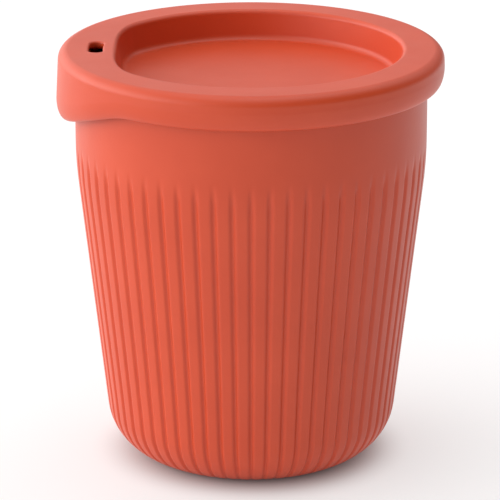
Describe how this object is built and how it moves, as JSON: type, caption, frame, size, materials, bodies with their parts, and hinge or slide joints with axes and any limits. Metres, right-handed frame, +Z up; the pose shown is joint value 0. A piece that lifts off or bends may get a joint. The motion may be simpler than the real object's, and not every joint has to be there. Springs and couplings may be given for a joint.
{
  "type": "lidded drinking cup",
  "caption": "Tapered double-wall drinking cup with a grooved shell, a smooth collar, a hanging liner and a press-on sip lid that lifts off and turns.",
  "frame": {"origin": "centre of the standing ring, on the table", "axes": "+Z up the cup's axis; the sip slot and its apron face -X at rest"},
  "size_m": [0.0977, 0.0972, 0.1062],
  "materials": {
    "cup_plastic": "moulded, satin matt, coral",
    "liner_plastic": "moulded, smooth, coral",
    "lid_plastic": "moulded, satin matt, coral",
    "seal_rubber": "soft silicone, milky"
  },
  "bodies": {
    "cup": {"outer_shell": "cup_plastic", "inner_liner": "liner_plastic"},
    "seal": {"lid_seal": "seal_rubber"},
    "lid": {"lid": "lid_plastic"}
  },
  "joints": [
    {"name": "lid_lift", "type": "slide", "parent": "cup", "child": "seal", "axis": [0, 0, 1], "range_m": [0, 0.04]},
    {"name": "lid_turn", "type": "hinge", "parent": "seal", "child": "lid", "pos_m": [0, 0, 0.1046], "axis": [0, 0, 1], "continuous": true}
  ]
}
